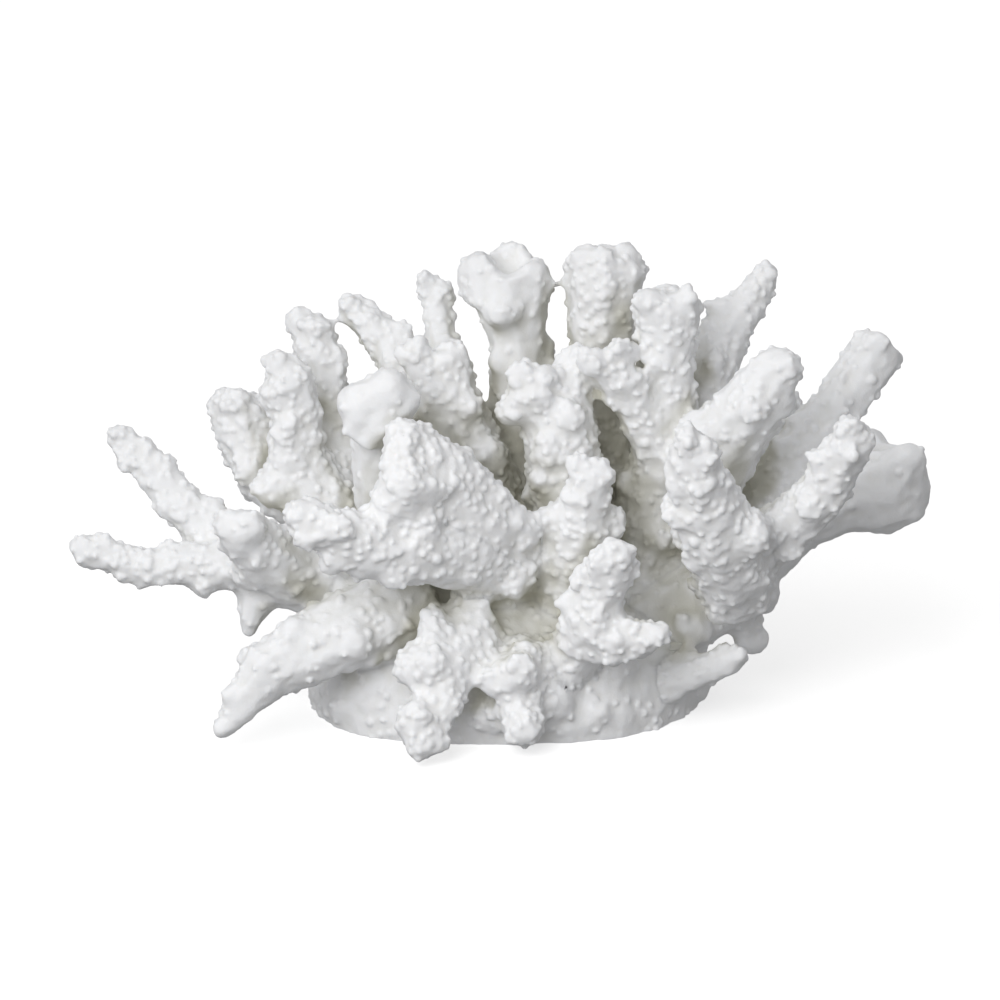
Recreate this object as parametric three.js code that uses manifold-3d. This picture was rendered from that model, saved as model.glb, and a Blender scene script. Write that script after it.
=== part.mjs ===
// White branching coral, rebuilt as a clump of tapering, knobbly branches on a flat-cut foot.
// Millimetres, +Z up.  The clump spreads along X, its front faces -Y, and it rests on Z = 0.

import * as THREE from 'three';
import { mergeVertices } from 'three/addons/utils/BufferGeometryUtils.js';
import Module from 'manifold-3d';

const wasm = await Module();
wasm.setup();

// ---------- driving dimensions ----------

const GAP = 0.3;               // joint left between one piece and the next
const KNOB = 0.06;             // how far the knobbly skin swells, as a share of the radius
const KNOB_PITCH = 15;         // distance along a branch from one swelling to the next
const STATION = 21;            // spacing of the rings along a branch
const CURVE_STEPS = 40;        // places along a branch where its direction is worked out
const THICK_RADIUS = 9.5;      // branches this thick or more get the finer ring
const THICK_SIDES = 8;
const THIN_SIDES = 7;
const LOBE_SIDES = 6;          // side lobes are small, so their rings are coarser
const ROOT_CAP = 0.45;         // how far the buried root bulges, as a share of its radius
const TIP_RINGS = [[0.84, 0.52], [0.5, 0.86], [0, 1]];   // a round tip: [radius, height] shares

const FOOT_HALF_X = 70;        // half length of the flat contact face
const FOOT_HALF_Y = 44;        // half depth of the flat contact face
const FOOT_SQUARENESS = 2.2;   // 2 is an ellipse, larger is squarer
const FOOT_SIDES = 20;
const FOOT_RINGS = [[0, 0], [0.98, 0], [1, 7], [0.95, 20], [0.78, 34], [0.5, 44], [0, 50]];

const CORAL_WHITE = 0xe9eaec;

// ---------- turning geometry into closed solids ----------

function closedSolid(geometry) {
  geometry.deleteAttribute('normal');
  geometry.deleteAttribute('uv');
  const merged = mergeVertices(geometry, 1e-4);
  const index = merged.index.array;
  const corners = [];
  for (let i = 0; i < index.length; i += 3) {
    const [a, b, c] = [index[i], index[i + 1], index[i + 2]];
    if (a !== b && b !== c && c !== a) {
      corners.push(a, b, c);
    }
  }
  const mesh = new wasm.Mesh({
    numProp: 3,
    vertProperties: new Float32Array(merged.attributes.position.array),
    triVerts: new Uint32Array(corners),
  });
  return new wasm.Manifold(mesh);
}

function largestBody(solid) {
  const bodies = solid.decompose();
  bodies.sort((a, b) => b.volume() - a.volume());
  return bodies[0];
}

function ballSolid([x, y, z], radius) {
  const ball = new THREE.SphereGeometry(radius, 8, 5);
  ball.translate(x, y, z);
  return closedSolid(ball);
}

// ---------- a branch: a lathe-turned taper bent along a curve ----------
// Each point is [x, y, z, radius], from the root to the middle of the rounded tip.

function radiusAlong(points, curve, share) {
  const t = curve.getUtoTmapping(share) * (points.length - 1);
  const i = Math.min(Math.floor(t), points.length - 2);
  const blend = THREE.MathUtils.smoothstep(t - i, 0, 1);
  return THREE.MathUtils.lerp(points[i][3], points[i + 1][3], 0.5 * (blend + t - i));
}

function branchProfile(points, curve, length, grow, flatTip, blunt) {
  const root = points[0][3] + grow;
  const tip = points[points.length - 1][3] + grow;
  const profile = [new THREE.Vector2(0, -ROOT_CAP * root)];
  const rings = Math.max(2, Math.round(length / STATION));
  for (let k = 0; k <= rings; k += 1) {
    const share = k / rings;
    profile.push(new THREE.Vector2(radiusAlong(points, curve, share) + grow, share * length));
  }
  if (flatTip > 0) {
    profile.push(new THREE.Vector2(0.97 * tip, length + flatTip + grow));
    profile.push(new THREE.Vector2(0, length + flatTip + grow));
    return profile;
  }
  for (const [across, along] of TIP_RINGS) {
    profile.push(new THREE.Vector2(across * tip, length + along * blunt * tip));
  }
  return profile;
}

function ringSides(points) {
  const thickest = Math.max(...points.map((point) => point[3]));
  return thickest >= THICK_RADIUS ? THICK_SIDES : THIN_SIDES;
}

function branchSolid(points, grow = 0, { flatTip = 0, blunt = 1, sides = ringSides(points) } = {}) {
  const curve = new THREE.CatmullRomCurve3(
    points.map(([x, y, z]) => new THREE.Vector3(x, y, z)), false, 'centripetal');
  const length = curve.getLength();
  const frames = curve.computeFrenetFrames(CURVE_STEPS, false);
  const lathe = new THREE.LatheGeometry(
    branchProfile(points, curve, length, grow, flatTip, blunt), sides);
  // The corners stand a little outside the true round, so that the flats don't thin the branch.
  const fuller = 0.5 + 0.5 / Math.cos(Math.PI / sides);
  const position = lathe.attributes.position;
  const phase = points[0][0] * 0.7 + points[0][2] * 0.4;
  for (let i = 0; i < position.count; i += 1) {
    const across = new THREE.Vector2(position.getX(i), position.getZ(i));
    const along = position.getY(i);
    const share = THREE.MathUtils.clamp(along / length, 0, 1);
    const step = Math.round(share * CURVE_STEPS);
    const turn = 2 * Math.PI * along / KNOB_PITCH;
    const swell = Math.sin(2 * across.angle() + phase) * Math.sin(turn + phase);
    across.multiplyScalar(fuller * (1 + KNOB * swell));
    const place = curve.getPointAt(share);
    place.addScaledVector(frames.tangents[step], along - share * length);
    place.addScaledVector(frames.normals[step], across.x);
    place.addScaledVector(frames.binormals[step], -across.y);
    position.setXYZ(i, place.x, place.y, place.z);
  }
  return closedSolid(lathe);
}

// ---------- the flat-cut foot ----------

function footSolid(grow = 0) {
  const lathe = new THREE.LatheGeometry(
    FOOT_RINGS.map(([share, z]) => new THREE.Vector2(share, z)), FOOT_SIDES);
  lathe.rotateX(Math.PI / 2);
  const position = lathe.attributes.position;
  for (let i = 0; i < position.count; i += 1) {
    const x = position.getX(i);
    const y = position.getY(i);
    const z = position.getZ(i);
    const angle = Math.atan2(y, x);
    const share = Math.hypot(x, y);
    const power = 2 / FOOT_SQUARENESS;
    const wobble = 1 + 0.025 * Math.sin(3 * angle + 0.6) + 0.02 * Math.sin(5 * angle + z * 0.1);
    const reachX = (FOOT_HALF_X * wobble + grow) * share;
    const reachY = (FOOT_HALF_Y * wobble + grow) * share;
    position.setXYZ(
      i,
      reachX * Math.sign(Math.cos(angle)) * Math.abs(Math.cos(angle)) ** power,
      reachY * Math.sign(Math.sin(angle)) * Math.abs(Math.sin(angle)) ** power,
      z > 0 ? z + grow : z - grow);
  }
  return closedSolid(lathe);
}

// ---------- collecting the pieces, each cut back to clear the ones before it ----------

const coral = new THREE.Group();
coral.name = 'white_branching_coral';
const built = [];

function addPiece(name, solid, grown) {
  let body = solid;
  for (const earlier of built) {
    body = body.subtract(earlier);
  }
  body = largestBody(body);
  built.push(grown);
  const cut = body.getMesh();
  const geometry = new THREE.BufferGeometry();
  const corners = new Float32Array(cut.numVert * 3);
  for (let i = 0; i < cut.numVert; i += 1) {
    for (let k = 0; k < 3; k += 1) {
      corners[3 * i + k] = cut.vertProperties[cut.numProp * i + k];
    }
  }
  geometry.setAttribute('position', new THREE.BufferAttribute(corners, 3));
  geometry.setIndex(new THREE.BufferAttribute(new Uint32Array(cut.triVerts), 1));
  geometry.computeVertexNormals();
  const finish = new THREE.MeshStandardMaterial({
    color: CORAL_WHITE, roughness: 0.85, metalness: 0,
  });
  finish.name = 'white_coral';
  const piece = new THREE.Mesh(geometry, finish);
  piece.name = name;
  coral.add(piece);
}

// A branch with its side lobes.  An optional hollow [x, y, z, radius] is scooped out of it.
// Its tip is a half ball, squashed by blunt, or cut square past its last point by flatTip.
function addBranch(name, spine, { lobes = [], hollow = null, flatTip = 0, blunt = 1 } = {}) {
  let solid = branchSolid(spine, 0, { flatTip, blunt });
  let grown = branchSolid(spine, GAP, { flatTip, blunt });
  for (const lobe of lobes) {
    solid = solid.add(branchSolid(lobe, 0, { sides: LOBE_SIDES }));
    grown = grown.add(branchSolid(lobe, GAP, { sides: LOBE_SIDES }));
  }
  if (hollow) {
    const [x, y, z, radius] = hollow;
    solid = solid.subtract(ballSolid([x, y, z], radius));
  }
  addPiece(name, solid, grown);
}

// ---------- foot ----------

function buildFoot() {
  addPiece('foot', footSolid(), footSolid(GAP));
}

// ---------- left limb and its three fingers ----------

function buildLeftLimb() {
  // The limb leaves the foot to the left and sends one short drip of coral downward.
  addBranch('left_limb',
    [[-20, 0, 35, 16], [-42, -3, 41, 16], [-63, -5, 47, 15], [-80, -6, 53, 12]],
    { lobes: [[[-82, -8, 46, 9], [-86, -9, 38, 6.5], [-87, -10, 32, 4.5]]] });
  addBranch('left_upper_finger',
    [[-82, 0, 51, 10], [-97, 3, 58, 9.5], [-105, 6, 64, 9], [-113, 9, 73, 8.5],
      [-122, 12, 83, 7], [-133, 15, 93, 6]]);
  addBranch('left_lower_finger',
    [[-83, -8, 53, 9.5], [-95, -10, 54, 9], [-109, -12, 55, 8], [-123, -12, 54, 7],
      [-134, -12, 56, 6], [-142, -12, 60, 6.5]]);
  addBranch('left_front_stub', [[-70, -11, 52, 13], [-80, -23, 62, 11.5], [-87, -34, 72, 9.5]]);
}

function buildLeftLowArm() {
  // A stout arm that slopes down and ends in a broken, narrow tip near the ground.
  addBranch('left_low_arm',
    [[-28, -18, 43, 16], [-46, -30, 39, 15.5], [-64, -40, 34, 13], [-80, -46, 26, 11],
      [-88, -50, 17, 8.5], [-91, -52, 11, 5]]);
}

// ---------- rear left limb: four upright fingers ----------

function buildRearLeft() {
  addBranch('rear_left_limb',
    [[-24, 12, 43, 15], [-46, 16, 54, 16.5], [-62, 16, 68, 16], [-70, 14, 81, 13.5]]);
  addBranch('rear_left_upright_finger',
    [[-70, 13, 80, 11.5], [-71, 12, 93, 10.5], [-71, 10, 105, 9.5], [-72, 8, 116, 8.5]]);
  addBranch('rear_left_tall_finger',
    [[-54, 22, 74, 11], [-60, 30, 94, 10], [-64, 35, 113, 9.5], [-66, 37, 126, 8.5]]);
  addBranch('rear_left_cone_finger',
    [[-66, 24, 62, 10], [-81, 34, 71, 10], [-89, 39, 83, 13.5], [-92, 41, 93, 12]]);
}

// ---------- left of centre: a knotted limb with two slim fingers behind it ----------

function buildLeftOfCentre() {
  addBranch('knotted_limb',
    [[9, 18, 50, 13], [-4, 16, 74, 12], [-12, 14, 93, 12.5], [-18, 12, 108, 12],
      [-17, 10, 119, 9], [-16, 10, 124, 6.5]],
    { lobes: [[[-20, 8, 110, 8.5], [-27, 6, 119, 6], [-31, 5, 125, 5]]] });
  addBranch('leaning_finger',
    [[-14, 20, 86, 10], [-29, 30, 108, 9.5], [-37, 36, 120, 9.5], [-45, 40, 130, 8],
      [-52, 42, 135, 6]]);
  addBranch('slim_finger',
    [[-12, 25, 88, 9], [-20, 36, 112, 7], [-21, 44, 127, 6.5], [-23, 48, 141, 5.5]]);
}

// ---------- front left: a two-lobed limb, a thumb and a level arm ----------

function buildFrontLeft() {
  addBranch('front_left_limb',
    [[3, -2, 44, 14], [-2, -24, 65, 15.5], [-12, -36, 84, 14.5], [-23, -44, 99, 12],
      [-32, -48, 109, 8]],
    { lobes: [[[-20, -44, 93, 10], [-27, -53, 94, 10], [-31, -57, 96, 9]]] });
  addBranch('curled_thumb',
    [[-32, -8, 60, 14], [-38, -10, 84, 13], [-41, -15, 100, 11]],
    { lobes: [[[-47, -26, 106, 11.5], [-42, -28, 112, 11], [-34, -29, 118, 8.5]]] });
  addBranch('front_left_arm',
    [[-2, -22, 59, 15], [-17, -40, 69, 14], [-35, -51, 73, 13], [-51, -60, 76, 11],
      [-62, -66, 86, 7.5]]);
}

// ---------- three low growths at the front of the foot ----------

function buildFrontGrowths() {
  addBranch('front_left_nub',
    [[-9, -28, 40, 12], [-17, -43, 32, 11], [-19, -54, 23, 11], [-20, -60, 15, 11],
      [-25, -64, 9, 7]],
    { lobes: [
      [[-20, -46, 29, 10], [-28, -52, 31, 9]],
      [[-19, -44, 33, 8.5], [-23, -46, 42, 6]],
    ] });
  addBranch('front_centre_nub',
    [[17, -24, 26, 10], [9, -38, 27, 9.5], [4, -48, 26, 9]],
    { lobes: [[[6, -46, 20, 9], [8, -51, 10, 8.5]]] });
  addBranch('front_knuckled_nub',
    [[23, -20, 12, 9], [25, -34, 29, 10], [30, -45, 48, 10], [35, -51, 61, 10],
      [37, -54, 66, 9]],
    { lobes: [[[30, -44, 40, 10], [40, -52, 40, 9.5], [49, -55, 42, 8], [53, -56, 43, 5]]] });
}

// ---------- centre: a column, a finger in front of it and two tall branches behind ----------

function buildCentre() {
  addBranch('centre_column',
    [[19, 5, 22, 14], [22, 2, 45, 14], [23, 0, 68, 13.5], [22, 0, 89, 14],
      [20, 1, 106, 13], [23, 3, 119, 8.5], [24, 4, 124, 5.5]],
    { lobes: [[[17, -2, 107, 9], [9, -6, 114, 8]]] });
  addBranch('front_centre_finger',
    [[20, -7, 30, 11], [23, -16, 49, 11.5], [27, -23, 67, 12], [30, -28, 80, 10.5],
      [30, -31, 92, 7]]);
  // This one flares at the top, where lobes ring a shallow hollow.
  addBranch('tall_cupped_branch',
    [[13, 22, 43, 13], [9, 27, 67, 10], [7, 31, 90, 8.5], [6, 34, 112, 12],
      [6, 36, 125, 11], [4, 36, 137, 14.5], [3, 36, 146, 15]],
    { lobes: [
      [[-3, 35, 141, 11], [-6, 34, 149, 10]],
      [[4, 42, 142, 9], [4, 45, 152, 8]],
      [[8, 35, 140, 10], [10, 33, 148, 9]],
      [[10, 35, 112, 8], [15, 39, 120, 6]],
    ],
    flatTip: 5,
    hollow: [3, 34, 157, 8.5] });
  addBranch('tall_blunt_branch',
    [[35, 27, 42, 12], [38, 29, 74, 10], [37, 30, 100, 9.5], [37, 31, 121, 10],
      [36, 32, 134, 14], [37, 32, 153, 15]],
    { blunt: 0.5 });
}

// ---------- right of centre ----------

function buildRightOfCentre() {
  addBranch('right_trunk',
    [[35, 8, 20, 16], [49, 12, 44, 14], [55, 14, 69, 13], [59, 14, 91, 13]]);
  addBranch('knuckled_twig',
    [[55, 9, 92, 10], [46, 3, 110, 8], [38, -3, 120, 7], [34, -5, 125, 5.5]],
    { lobes: [[[40, -2, 119, 6], [41, -4, 131, 4]]] });
  addBranch('square_topped_branch',
    [[62, 12, 88, 11], [59, 9, 112, 9.5], [57, 7, 127, 10.5], [57, 6, 144, 12.5]],
    { blunt: 0.5 });
  addBranch('right_pointed_finger',
    [[66, 24, 82, 12], [72, 34, 106, 11], [78, 40, 122, 10], [86, 46, 134, 8],
      [94, 50, 143, 6]]);
  addBranch('right_round_finger',
    [[69, 2, 78, 14], [77, -7, 98, 13.5], [85, -13, 112, 12.5], [94, -17, 125, 9.5]]);
}

// ---------- right limb ----------

function buildRightLimb() {
  addBranch('right_limb',
    [[34, 4, 17, 18], [56, 6, 29, 17.5], [76, 8, 41, 16.5], [92, 10, 55, 13],
      [105, 12, 65, 11]],
    { lobes: [[[83, 8, 36, 10.5], [87, 8, 28, 7], [89, 8, 23, 4]]] });
  // This finger was cut off square, so its end is flat.
  addBranch('right_flat_ended_finger',
    [[92, 17, 63, 12.5], [104, 25, 82, 11.5], [116, 32, 96, 10], [127, 37, 109, 9.5],
      [133, 40, 118, 10.5]],
    { flatTip: 5.5 });
  // Two rims with a shallow hollow between them top this one.
  addBranch('right_flared_lobe',
    [[102, 12, 63, 11], [118, 15, 70, 12.5], [129, 17, 74, 16], [136, 18, 75, 17]],
    { lobes: [
      [[138, 12, 80, 10], [141, 8, 86, 8.5]],
      [[132, 25, 80, 10], [131, 30, 86, 8]],
    ],
    hollow: [133, 19, 98, 9.5] });
  addBranch('right_front_finger',
    [[83, -12, 59, 12], [99, -26, 73, 10.5], [108, -33, 85, 9], [113, -38, 97, 9.5],
      [117, -41, 105, 8]]);
  addBranch('right_beaded_column',
    [[82, -14, 46, 14], [76, -36, 67, 14.5], [69, -47, 85, 13], [66, -53, 97, 11],
      [63, -57, 105, 8.5]]);
  addBranch('right_low_finger',
    [[47, -13, 10, 9.5], [62, -20, 17, 8], [73, -24, 23, 6.5], [81, -26, 26, 5]]);
}

// ---------- rear face ----------

function buildRear() {
  addBranch('back_left_limb',
    [[-14, 22, 34, 15], [-42, 42, 50, 14], [-60, 56, 66, 12]]);
  addBranch('back_left_outer_finger',
    [[-58, 54, 65, 10.5], [-76, 62, 76, 9], [-88, 66, 88, 7]]);
  addBranch('back_left_inner_finger',
    [[-56, 55, 66, 10.5], [-53, 68, 80, 9], [-48, 77, 92, 7]]);
  addBranch('back_centre_limb',
    [[0, 25, 38, 15], [-2, 47, 60, 13], [-5, 60, 76, 11.5]]);
  addBranch('back_centre_left_finger',
    [[-6, 59, 76, 10], [-15, 69, 93, 9], [-24, 74, 107, 7]]);
  addBranch('back_centre_right_finger',
    [[-2, 60, 75, 10], [11, 73, 87, 9], [19, 80, 99, 7.5]]);
  addBranch('back_right_limb',
    [[30, 24, 34, 15], [58, 41, 50, 14], [78, 52, 64, 13.5]]);
  addBranch('back_right_inner_finger',
    [[70, 55, 68, 10.5], [64, 66, 88, 9], [60, 74, 108, 7.5]]);
  addBranch('back_right_outer_finger',
    [[78, 53, 66, 10.5], [93, 62, 79, 9], [104, 68, 93, 7]]);
  addBranch('back_low_left_finger',
    [[-14, 30, 24, 14], [-32, 52, 27, 12], [-52, 67, 35, 9.5], [-62, 73, 46, 7]]);
  addBranch('back_low_centre_finger',
    [[3, 34, 20, 13], [5, 58, 23, 10.5], [7, 72, 30, 9], [5, 78, 41, 7]]);
  addBranch('back_low_right_finger',
    [[24, 30, 22, 14], [42, 54, 25, 11.5], [58, 69, 34, 9], [67, 75, 44, 7]]);
}

buildFoot();
buildLeftLimb();
buildRearLeft();
buildLeftLowArm();
buildRightLimb();
buildCentre();
buildLeftOfCentre();
buildRightOfCentre();
buildFrontLeft();
buildFrontGrowths();
buildRear();

export default coral;
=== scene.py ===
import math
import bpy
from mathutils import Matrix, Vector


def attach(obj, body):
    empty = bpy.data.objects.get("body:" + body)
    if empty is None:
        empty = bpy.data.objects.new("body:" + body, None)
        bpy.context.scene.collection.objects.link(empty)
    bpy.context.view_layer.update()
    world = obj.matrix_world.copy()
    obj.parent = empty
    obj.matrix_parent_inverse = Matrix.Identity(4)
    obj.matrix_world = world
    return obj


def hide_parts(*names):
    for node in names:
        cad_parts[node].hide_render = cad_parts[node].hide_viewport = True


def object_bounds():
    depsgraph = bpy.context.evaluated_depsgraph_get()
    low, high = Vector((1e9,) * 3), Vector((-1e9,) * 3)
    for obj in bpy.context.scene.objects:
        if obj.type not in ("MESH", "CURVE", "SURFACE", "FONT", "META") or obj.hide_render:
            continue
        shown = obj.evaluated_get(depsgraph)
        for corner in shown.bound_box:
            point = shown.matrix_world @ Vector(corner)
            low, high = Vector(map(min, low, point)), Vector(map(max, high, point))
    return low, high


bl_info = {
    "name": "White Branching Coral",
    "version": (1, 0, 0),
    "blender": (4, 5, 0),
    "location": "View3D > Sidebar > Coral",
    "description": "Grows a knobbly white branching coral over a plain branching frame",
    "category": "Add Mesh",
}

import bmesh
import bpy
import numpy as np
from mathutils import Matrix, Vector
from mathutils.bvhtree import BVHTree

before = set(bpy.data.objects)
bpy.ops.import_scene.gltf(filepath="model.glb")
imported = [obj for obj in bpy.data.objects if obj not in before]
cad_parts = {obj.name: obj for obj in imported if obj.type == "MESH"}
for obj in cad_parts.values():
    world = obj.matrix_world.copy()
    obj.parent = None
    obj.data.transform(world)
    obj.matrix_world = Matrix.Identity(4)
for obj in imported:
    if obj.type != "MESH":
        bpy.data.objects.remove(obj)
FRAME_BOX = [list(corner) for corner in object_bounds()]

# Each visible piece and the frame nodes it covers.
PIECES = {
    "coral_foot": ["foot"],
    "coral_left_limb": [
        "left_limb", "left_upper_finger", "left_lower_finger", "left_front_stub"],
    "coral_left_low_arm": ["left_low_arm"],
    "coral_rear_left_limb": [
        "rear_left_limb", "rear_left_upright_finger", "rear_left_tall_finger",
        "rear_left_cone_finger"],
    "coral_knotted_limb": ["knotted_limb", "leaning_finger", "slim_finger"],
    "coral_front_left_limb": ["front_left_limb", "curled_thumb"],
    "coral_front_left_arm": ["front_left_arm"],
    "coral_front_left_nub": ["front_left_nub"],
    "coral_front_centre_nub": ["front_centre_nub"],
    "coral_front_knuckled_nub": ["front_knuckled_nub"],
    "coral_centre_column": ["centre_column", "front_centre_finger"],
    "coral_tall_cupped_branch": ["tall_cupped_branch"],
    "coral_tall_blunt_branch": ["tall_blunt_branch"],
    "coral_right_trunk": [
        "right_trunk", "knuckled_twig", "square_topped_branch", "right_pointed_finger",
        "right_round_finger"],
    "coral_right_limb": [
        "right_limb", "right_flat_ended_finger", "right_flared_lobe", "right_front_finger",
        "right_low_finger"],
    "coral_right_beaded_column": ["right_beaded_column"],
    "coral_back_left_limb": [
        "back_left_limb", "back_left_outer_finger", "back_left_inner_finger",
        "back_low_left_finger"],
    "coral_back_centre_limb": [
        "back_centre_limb", "back_centre_left_finger", "back_centre_right_finger",
        "back_low_centre_finger"],
    "coral_back_right_limb": [
        "back_right_limb", "back_right_inner_finger", "back_right_outer_finger",
        "back_low_right_finger"],
}

# How thickly beads cover a branch, from 0 for bare to 1; a branch not named here has 1.
BEAD_COVER = {
    "foot": 0.35, "left_limb": 0.4, "left_low_arm": 0.5, "left_front_stub": 0.6,
    "curled_thumb": 0.15, "tall_cupped_branch": 0.35, "tall_blunt_branch": 0.7,
    "right_limb": 0.4, "right_flared_lobe": 0.1, "right_flat_ended_finger": 0.5,
    "right_low_finger": 0.6, "right_round_finger": 0.55,
}

# Round knuckles listed for the branches: how far along the branch each one sits, from 0
# at its root to 1 at its tip, the side that it stands on, and its radius in millimetres.
KNUCKLES = {
    "rear_left_limb": [
        (0.9, "front", 9), (0.75, "left", 10), (0.6, "front", 12), (0.4, "front", 12)],
    "rear_left_upright_finger": [(0.9, "left", 6.5), (0.6, "left", 7.5), (0.45, "front", 7)],
    "rear_left_tall_finger": [(0.9, "left", 6), (0.65, "right", 6), (0.8, "front", 5)],
    "rear_left_cone_finger": [
        (0.85, "left", 7), (0.85, "front", 7.5), (0.6, "right", 6), (0.5, "left", 6.5)],
    "leaning_finger": [
        (0.9, "front", 5), (0.75, "right", 5), (0.55, "left", 5.5), (0.45, "right", 5.5)],
    "slim_finger": [(0.9, "left", 4.5), (0.65, "right", 5)],
    "knotted_limb": [
        (0.95, "top", 5.5), (0.85, "front", 6), (0.7, "left", 6.5), (0.6, "right", 6.5),
        (0.5, "front", 7), (0.35, "front", 7)],
    "front_left_limb": [
        (0.93, "left", 7.5), (0.72, "left", 10), (0.4, "right", 9), (0.25, "right", 9),
        (0.2, "front", 9)],
    "curled_thumb": [(0.82, "left", 10), (0.93, "left", 9)],
    "front_left_arm": [
        (0.93, "left", 6), (0.88, "low", 6), (0.75, "low", 6.5), (0.75, "front", 6.5),
        (0.6, "low", 7), (0.55, "front", 7), (0.4, "front", 8), (0.4, "top", 7)],
    "front_left_nub": [
        (0.5, "front", 8), (0.8, "front", 8.5), (0.3, "top", 6)],
    "front_centre_nub": [(0.4, "front", 8), (0.5, "left", 6), (0.8, "front", 8)],
    "front_knuckled_nub": [
        (0.92, "front", 7), (0.88, "left", 6.5), (0.95, "right", 6), (0.55, "left", 6.5),
        (0.35, "front", 8)],
    "centre_column": [
        (0.95, "right", 5), (0.85, "left", 6.5), (0.85, "right", 6.5), (0.7, "left", 7),
        (0.6, "right", 7), (0.5, "front", 7)],
    "front_centre_finger": [
        (0.9, "left", 4.5), (0.75, "right", 6.5), (0.6, "left", 7), (0.5, "right", 7)],
    "tall_cupped_branch": [(0.75, "front", 9), (0.6, "left", 5.5), (0.6, "right", 5)],
    "tall_blunt_branch": [
        (0.93, "left", 7), (0.93, "front", 4.5), (0.95, "right", 6), (0.82, "front", 4.5)],
    "knuckled_twig": [
        (0.8, "left", 5), (0.6, "front", 5.5), (0.5, "right", 5), (0.9, "right", 4.5)],
    "square_topped_branch": [(0.88, "left", 5.5), (0.88, "right", 6), (0.6, "front", 5)],
    "right_trunk": [(0.8, "front", 7), (0.6, "left", 7), (0.4, "front", 8)],
    "right_pointed_finger": [(0.93, "top", 4.5), (0.7, "left", 6.3), (0.45, "front", 6)],
    "right_round_finger": [
        (0.9, "front", 6), (0.6, "front", 7.5), (0.45, "left", 7), (0.3, "front", 7.5),
        (0.6, "right", 6)],
    "right_flat_ended_finger": [(0.85, "front", 6), (0.6, "front", 7), (0.45, "left", 5)],
    "right_front_finger": [
        (0.9, "top", 6.5), (0.75, "left", 6), (0.55, "front", 7), (0.3, "front", 8),
        (0.35, "low", 6)],
    "right_beaded_column": [
        (0.93, "top", 6), (0.85, "right", 6), (0.6, "left", 7), (0.5, "right", 8),
        (0.35, "front", 9), (0.3, "right", 8), (0.35, "left", 7)],
    "right_limb": [(0.3, "front", 9), (0.6, "front", 9), (0.5, "low", 7)],
    "right_low_finger": [(0.4, "top", 5), (0.7, "front", 5)],
    "left_limb": [
        (0.55, "top", 12), (0.8, "top", 11), (0.7, "front", 9), (0.3, "top", 11)],
    "left_front_stub": [(0.93, "left", 7), (0.9, "right", 7.5), (0.6, "low", 7)],
    "left_upper_finger": [
        (0.93, "front", 4.5), (0.75, "right", 5), (0.7, "left", 4.5), (0.45, "right", 6),
        (0.4, "left", 5.5), (0.2, "front", 6)],
    "left_lower_finger": [
        (0.93, "left", 5), (0.7, "low", 4.5), (0.5, "top", 5), (0.3, "low", 6)],
    "left_low_arm": [
        (0.2, "top", 9), (0.4, "front", 8), (0.6, "top", 7), (0.75, "left", 6),
        (0.88, "left", 5)],
}

# The directions in which a knuckle can stand on its branch.
SIDES = {
    "front": Vector((0.0, -1.0, 0.3)), "left": Vector((-1.0, -0.4, 0.2)),
    "right": Vector((1.0, -0.4, 0.2)), "top": Vector((0.0, -0.3, 1.0)),
    "low": Vector((0.0, -0.4, -1.0)),
}

# A branch's root is its corner nearest to this point, low in the middle of the clump.
CLUMP_HEART = Vector((0.0, 0.0, 0.03))
# A knuckle's level has this many corners round it, and its skin is looked for from this far out.
KNUCKLE_CORNERS = 14
KNUCKLE_SEARCH = 0.05
# A knuckle's radius and the depth of its centre, in metres for each millimetre of radius.
KNUCKLE_UNIT = 0.001
KNUCKLE_SINK = 0.00042

# Growths round the foot: bearings in degrees anticlockwise from +X, sizes in metres.
FOOT_GROWTHS = 17
GROWTH_START = -96.0
GROWTH_ARC = 270.0
GROWTH_HEIGHTS = (0.010, 0.024, 0.016)
GROWTH_RADII = (0.009, 0.007, 0.011, 0.006)
GROWTH_SINK = 0.5
GROWTH_SEARCH = 0.2

# Corners of the frame closer than this are one corner.
WELD = 1e-6
# The foot's underside lies below this level and goes down this far, to be cut flat at the end.
UNDERSIDE_LEVEL = 0.0005
UNDERSIDE_PUSH = 0.004

# Smoothing passes on the plain body, on the knuckled body and on the beaded skin.
SMOOTH_FACTOR = 0.5
BODY_SMOOTHING = 8
KNUCKLE_SMOOTHING = 3
SKIN_SMOOTHING = 2

# Broad and fine swellings: the scale of each one's noise and its share of the lump height.
BROAD_SCALE = 85.0
BROAD_SHARE = 1.3
FINE_SCALE = 230.0
FINE_SHARE = 0.8

# Shelter is measured along this many directions, from this far above the skin.
SHELTER_RAYS = 24
GOLDEN_ANGLE = math.radians(137.5)
SHELTER_LIFT = 0.002

# The smallest and largest ball, as shares of its kind's radius, and how deep each kind sinks.
BALL_SMALLEST = 0.68
BALL_LARGEST = 1.22
KNUCKLE_BALL_SINK = 0.68
BEAD_SINK = 0.25
KNOB_SINK = 0.35
# Points tried for each square of the spacing; the spacing itself then thins them.
POINT_DENSITY = 1.1
# Random draws other than the beads' own start this far from the user's seed.
KNUCKLE_SEED = 11
KNOB_SEED = 5
# Beads thin out on skin whose normal's height lies between these two, down to this share.
UNDERSIDE_BARE = -0.75
UNDERSIDE_FULL = -0.05
UNDERSIDE_SHARE = 0.15
# Bare and crowded patches: the noise's scale, its strength and the level it varies about.
PATCH_SCALE = 70.0
PATCH_STRENGTH = 2.2
PATCH_LEVEL = 0.95

# Grains rise where a point is nearer than this share of a cell to the cell's middle.
GRIT_EDGE = 0.45
# Grains on bare skin have this share of their height, and full cover adds the rest.
GRIT_BARE = 0.2
GRIT_COVERED = 0.8

# A crest stands this far above the skin around it, and a hollow as far below.
CREST_HEIGHT = 0.0006
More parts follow.
